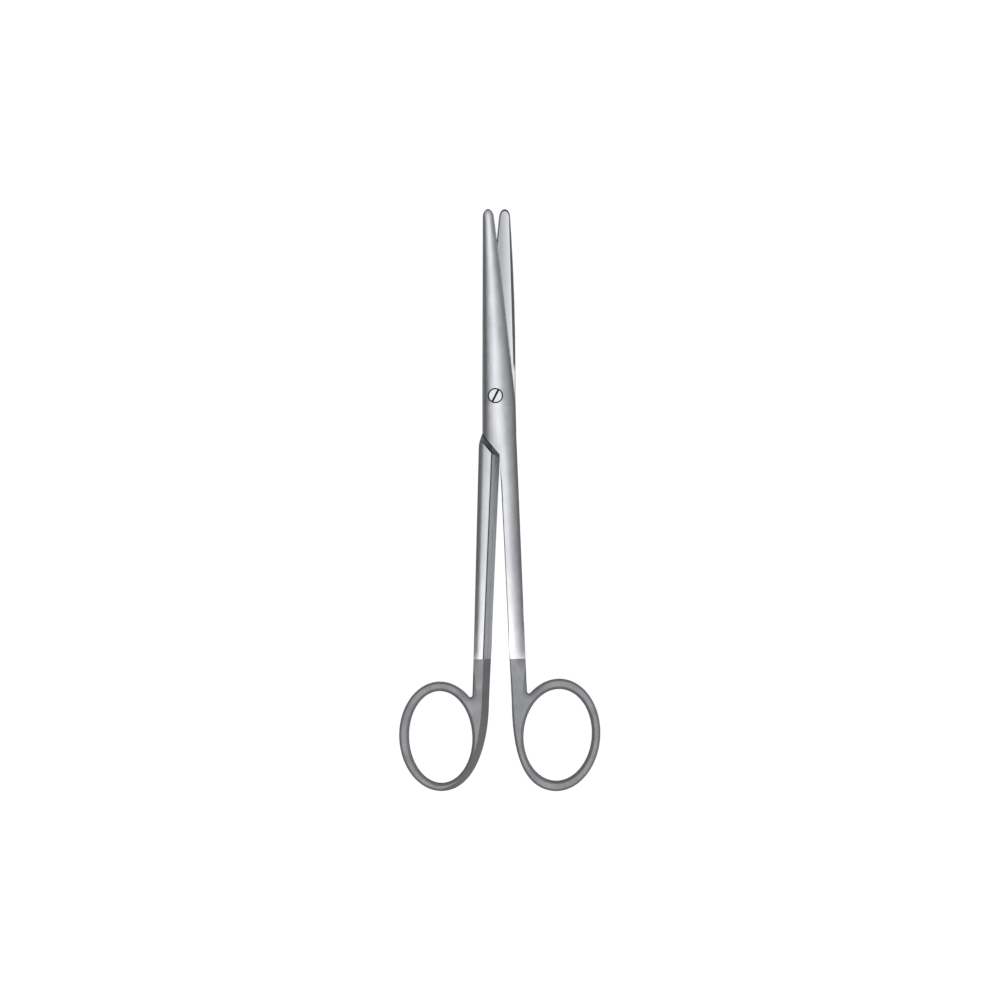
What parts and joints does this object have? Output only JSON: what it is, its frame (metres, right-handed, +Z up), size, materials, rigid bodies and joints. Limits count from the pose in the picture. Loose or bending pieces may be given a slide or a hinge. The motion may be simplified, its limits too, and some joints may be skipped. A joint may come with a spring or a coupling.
{
  "type": "dissecting scissors",
  "caption": "Straight dissecting scissors with blunt tips: forged steel halves lapped at a slotted screw, slender shanks that nest when shut and oval finger rings.",
  "frame": {"origin": "centre of the underside of the whole part's bounding box, with the scissors lying flat", "axes": "+Y along the length toward the blade tips, +Z up out of the face that shows the screw's slotted head, +X across to the upper half's finger ring"},
  "size_m": [0.05, 0.145, 0.0049],
  "materials": {
    "upper_half": "satin stainless steel, with a matte grey gripping coat on the lower shank and ring",
    "lower_half": "satin stainless steel, with a matte grey gripping coat on the lower shank and ring",
    "pivot_screw": "polished stainless steel"
  },
  "bodies": {
    "lower": {"lower_half": "lower_half", "pivot_screw": "pivot_screw"},
    "upper": {"upper_half": "upper_half"}
  },
  "joints": [
    {"name": "pivot", "type": "hinge", "parent": "lower", "child": "upper", "pos_m": [0.00005, 0.02602, 0.00245], "axis": [0, 0, 1], "range_deg": [-5.2, 120]}
  ]
}
